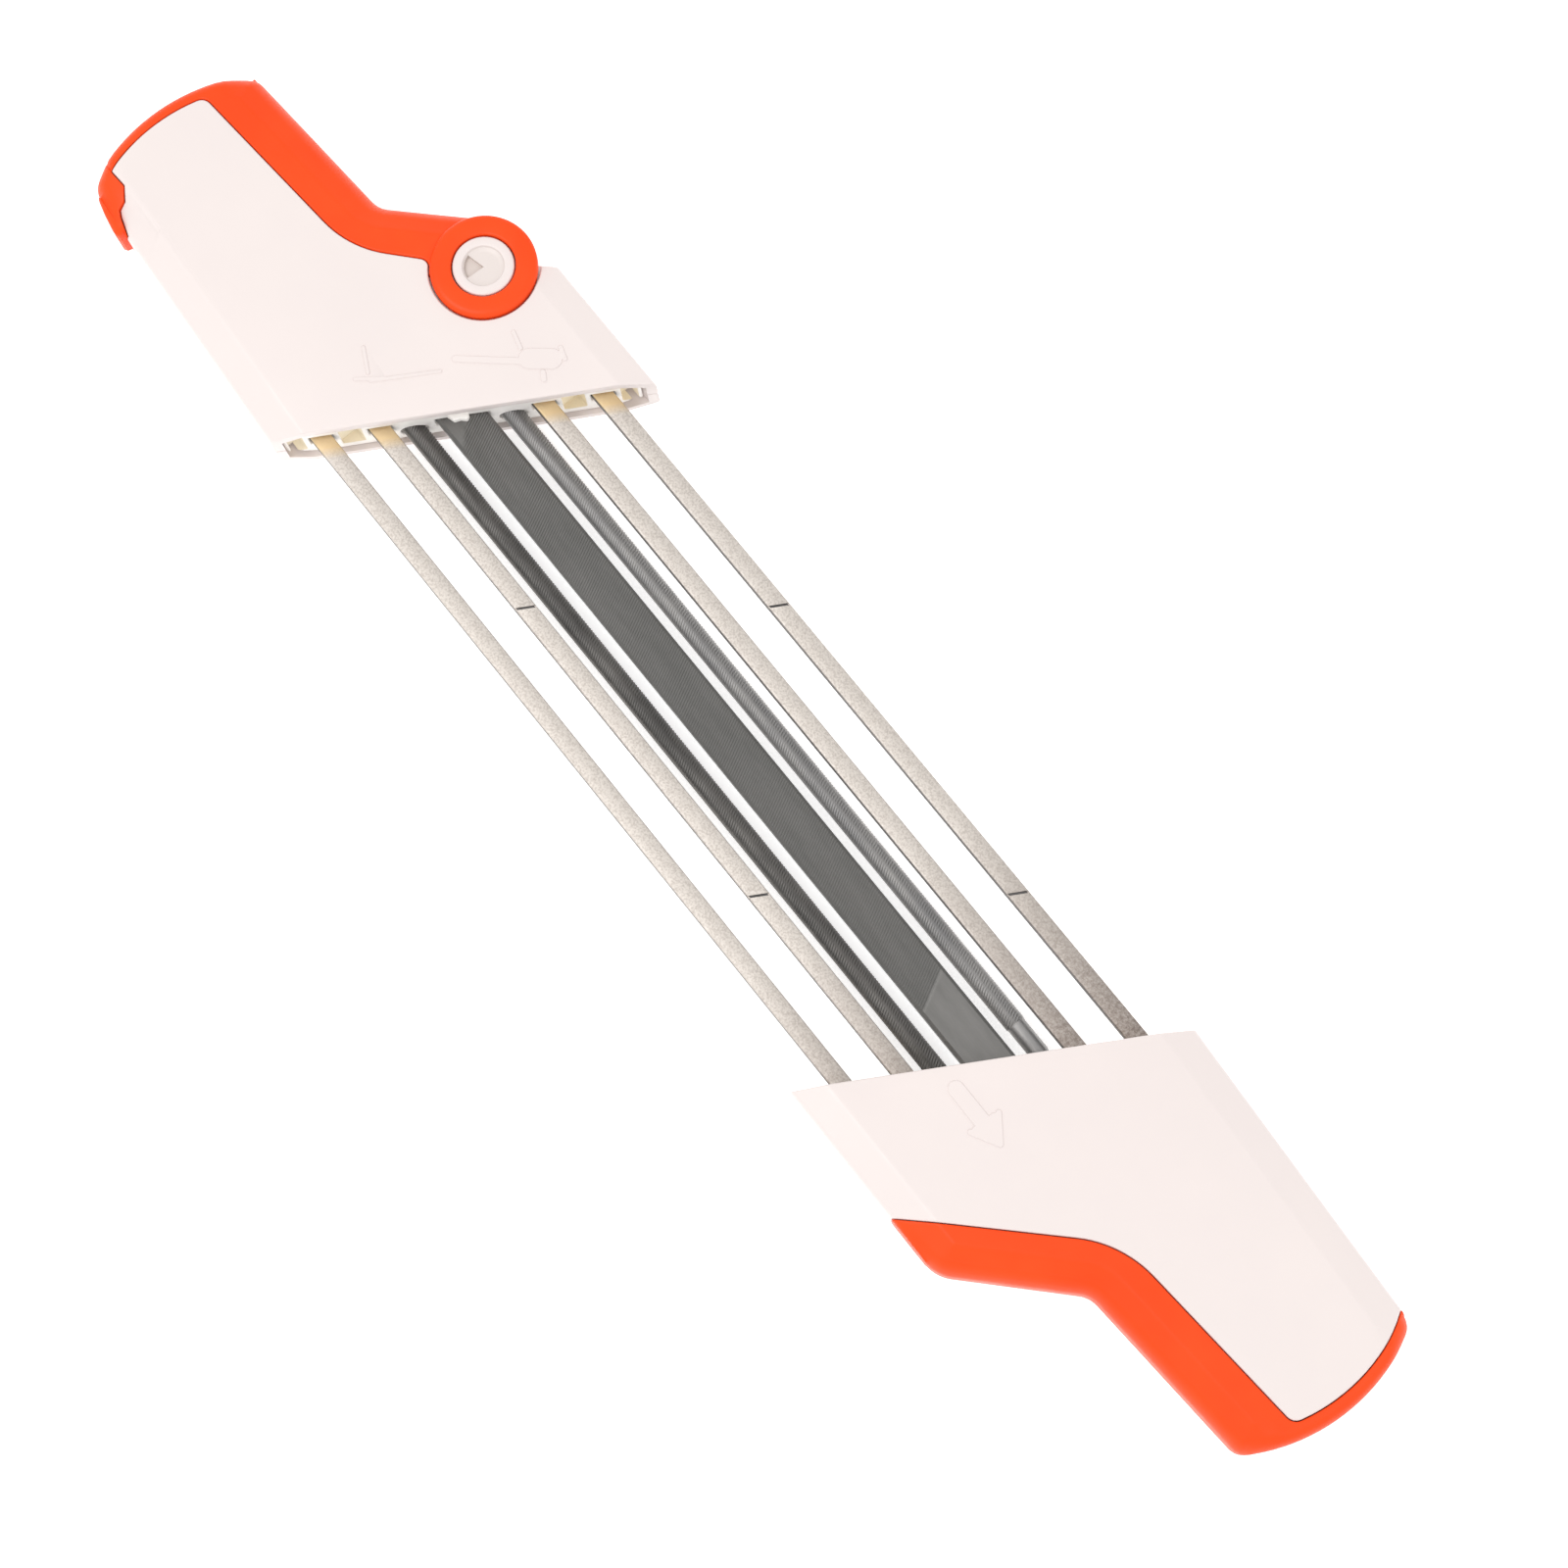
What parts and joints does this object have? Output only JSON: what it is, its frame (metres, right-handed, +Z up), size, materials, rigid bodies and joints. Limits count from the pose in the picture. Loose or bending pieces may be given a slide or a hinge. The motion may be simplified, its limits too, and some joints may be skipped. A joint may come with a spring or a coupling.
{
  "type": "chain filing guide",
  "caption": "Two-in-one chain filing guide: round and flat files held between two angled handles by guide bars, with a swinging lock lever.",
  "frame": {"origin": "under the middle of the tool, on the plane it lies on", "axes": "+X along the files towards the fixed handle, +Y across the tool, +Z up out of the face that carries the angle marks"},
  "size_m": [0.3674, 0.071, 0.018],
  "materials": {
    "white_plastic": "fine satin moulded",
    "orange_plastic": "satin moulded",
    "cream_nylon": "natural nylon",
    "bar_steel": "nickel plated, tumbled",
    "file_steel": "hardened, cut teeth",
    "pin_steel": "ground dowel"
  },
  "bodies": {
    "guide_body": {"fixed_handle_top_shell": "white_plastic", "fixed_handle_bottom_shell": "white_plastic", "fixed_handle_grip": "orange_plastic", "tang_block": "cream_nylon", "latch_handle_top_shell": "white_plastic", "latch_handle_bottom_shell": "white_plastic", "pivot_pin": "white_plastic", "pivot_cap": "white_plastic", "guide_block": "cream_nylon", "guide_bar_outer_left": "bar_steel", "guide_bar_inner_left": "bar_steel", "guide_bar_inner_right": "bar_steel", "guide_bar_outer_right": "bar_steel", "bar_pin_fixed_outer_left": "pin_steel", "bar_pin_fixed_inner_left": "pin_steel", "bar_pin_fixed_inner_right": "pin_steel", "bar_pin_fixed_outer_right": "pin_steel", "bar_pin_latch_outer_left": "pin_steel", "bar_pin_latch_inner_left": "pin_steel", "bar_pin_latch_inner_right": "pin_steel", "bar_pin_latch_outer_right": "pin_steel", "flat_file": "file_steel"},
    "lock_lever": {"lock_lever": "orange_plastic"},
    "round_file_left": {"round_file_left": "file_steel"},
    "round_file_right": {"round_file_right": "file_steel"}
  },
  "joints": [
    {"name": "lock_lever_swing", "type": "hinge", "parent": "guide_body", "child": "lock_lever", "pos_m": [-0.1098, 0.0228, 0.0085], "axis": [0, 0, -1], "range_deg": [0, 80]},
    {"name": "round_file_left_turn", "type": "hinge", "parent": "guide_body", "child": "round_file_left", "pos_m": [0, -0.0092, 0.00595], "axis": [1, 0, 0], "continuous": true},
    {"name": "round_file_right_turn", "type": "hinge", "parent": "guide_body", "child": "round_file_right", "pos_m": [0, 0.0092, 0.00595], "axis": [1, 0, 0], "continuous": true}
  ]
}
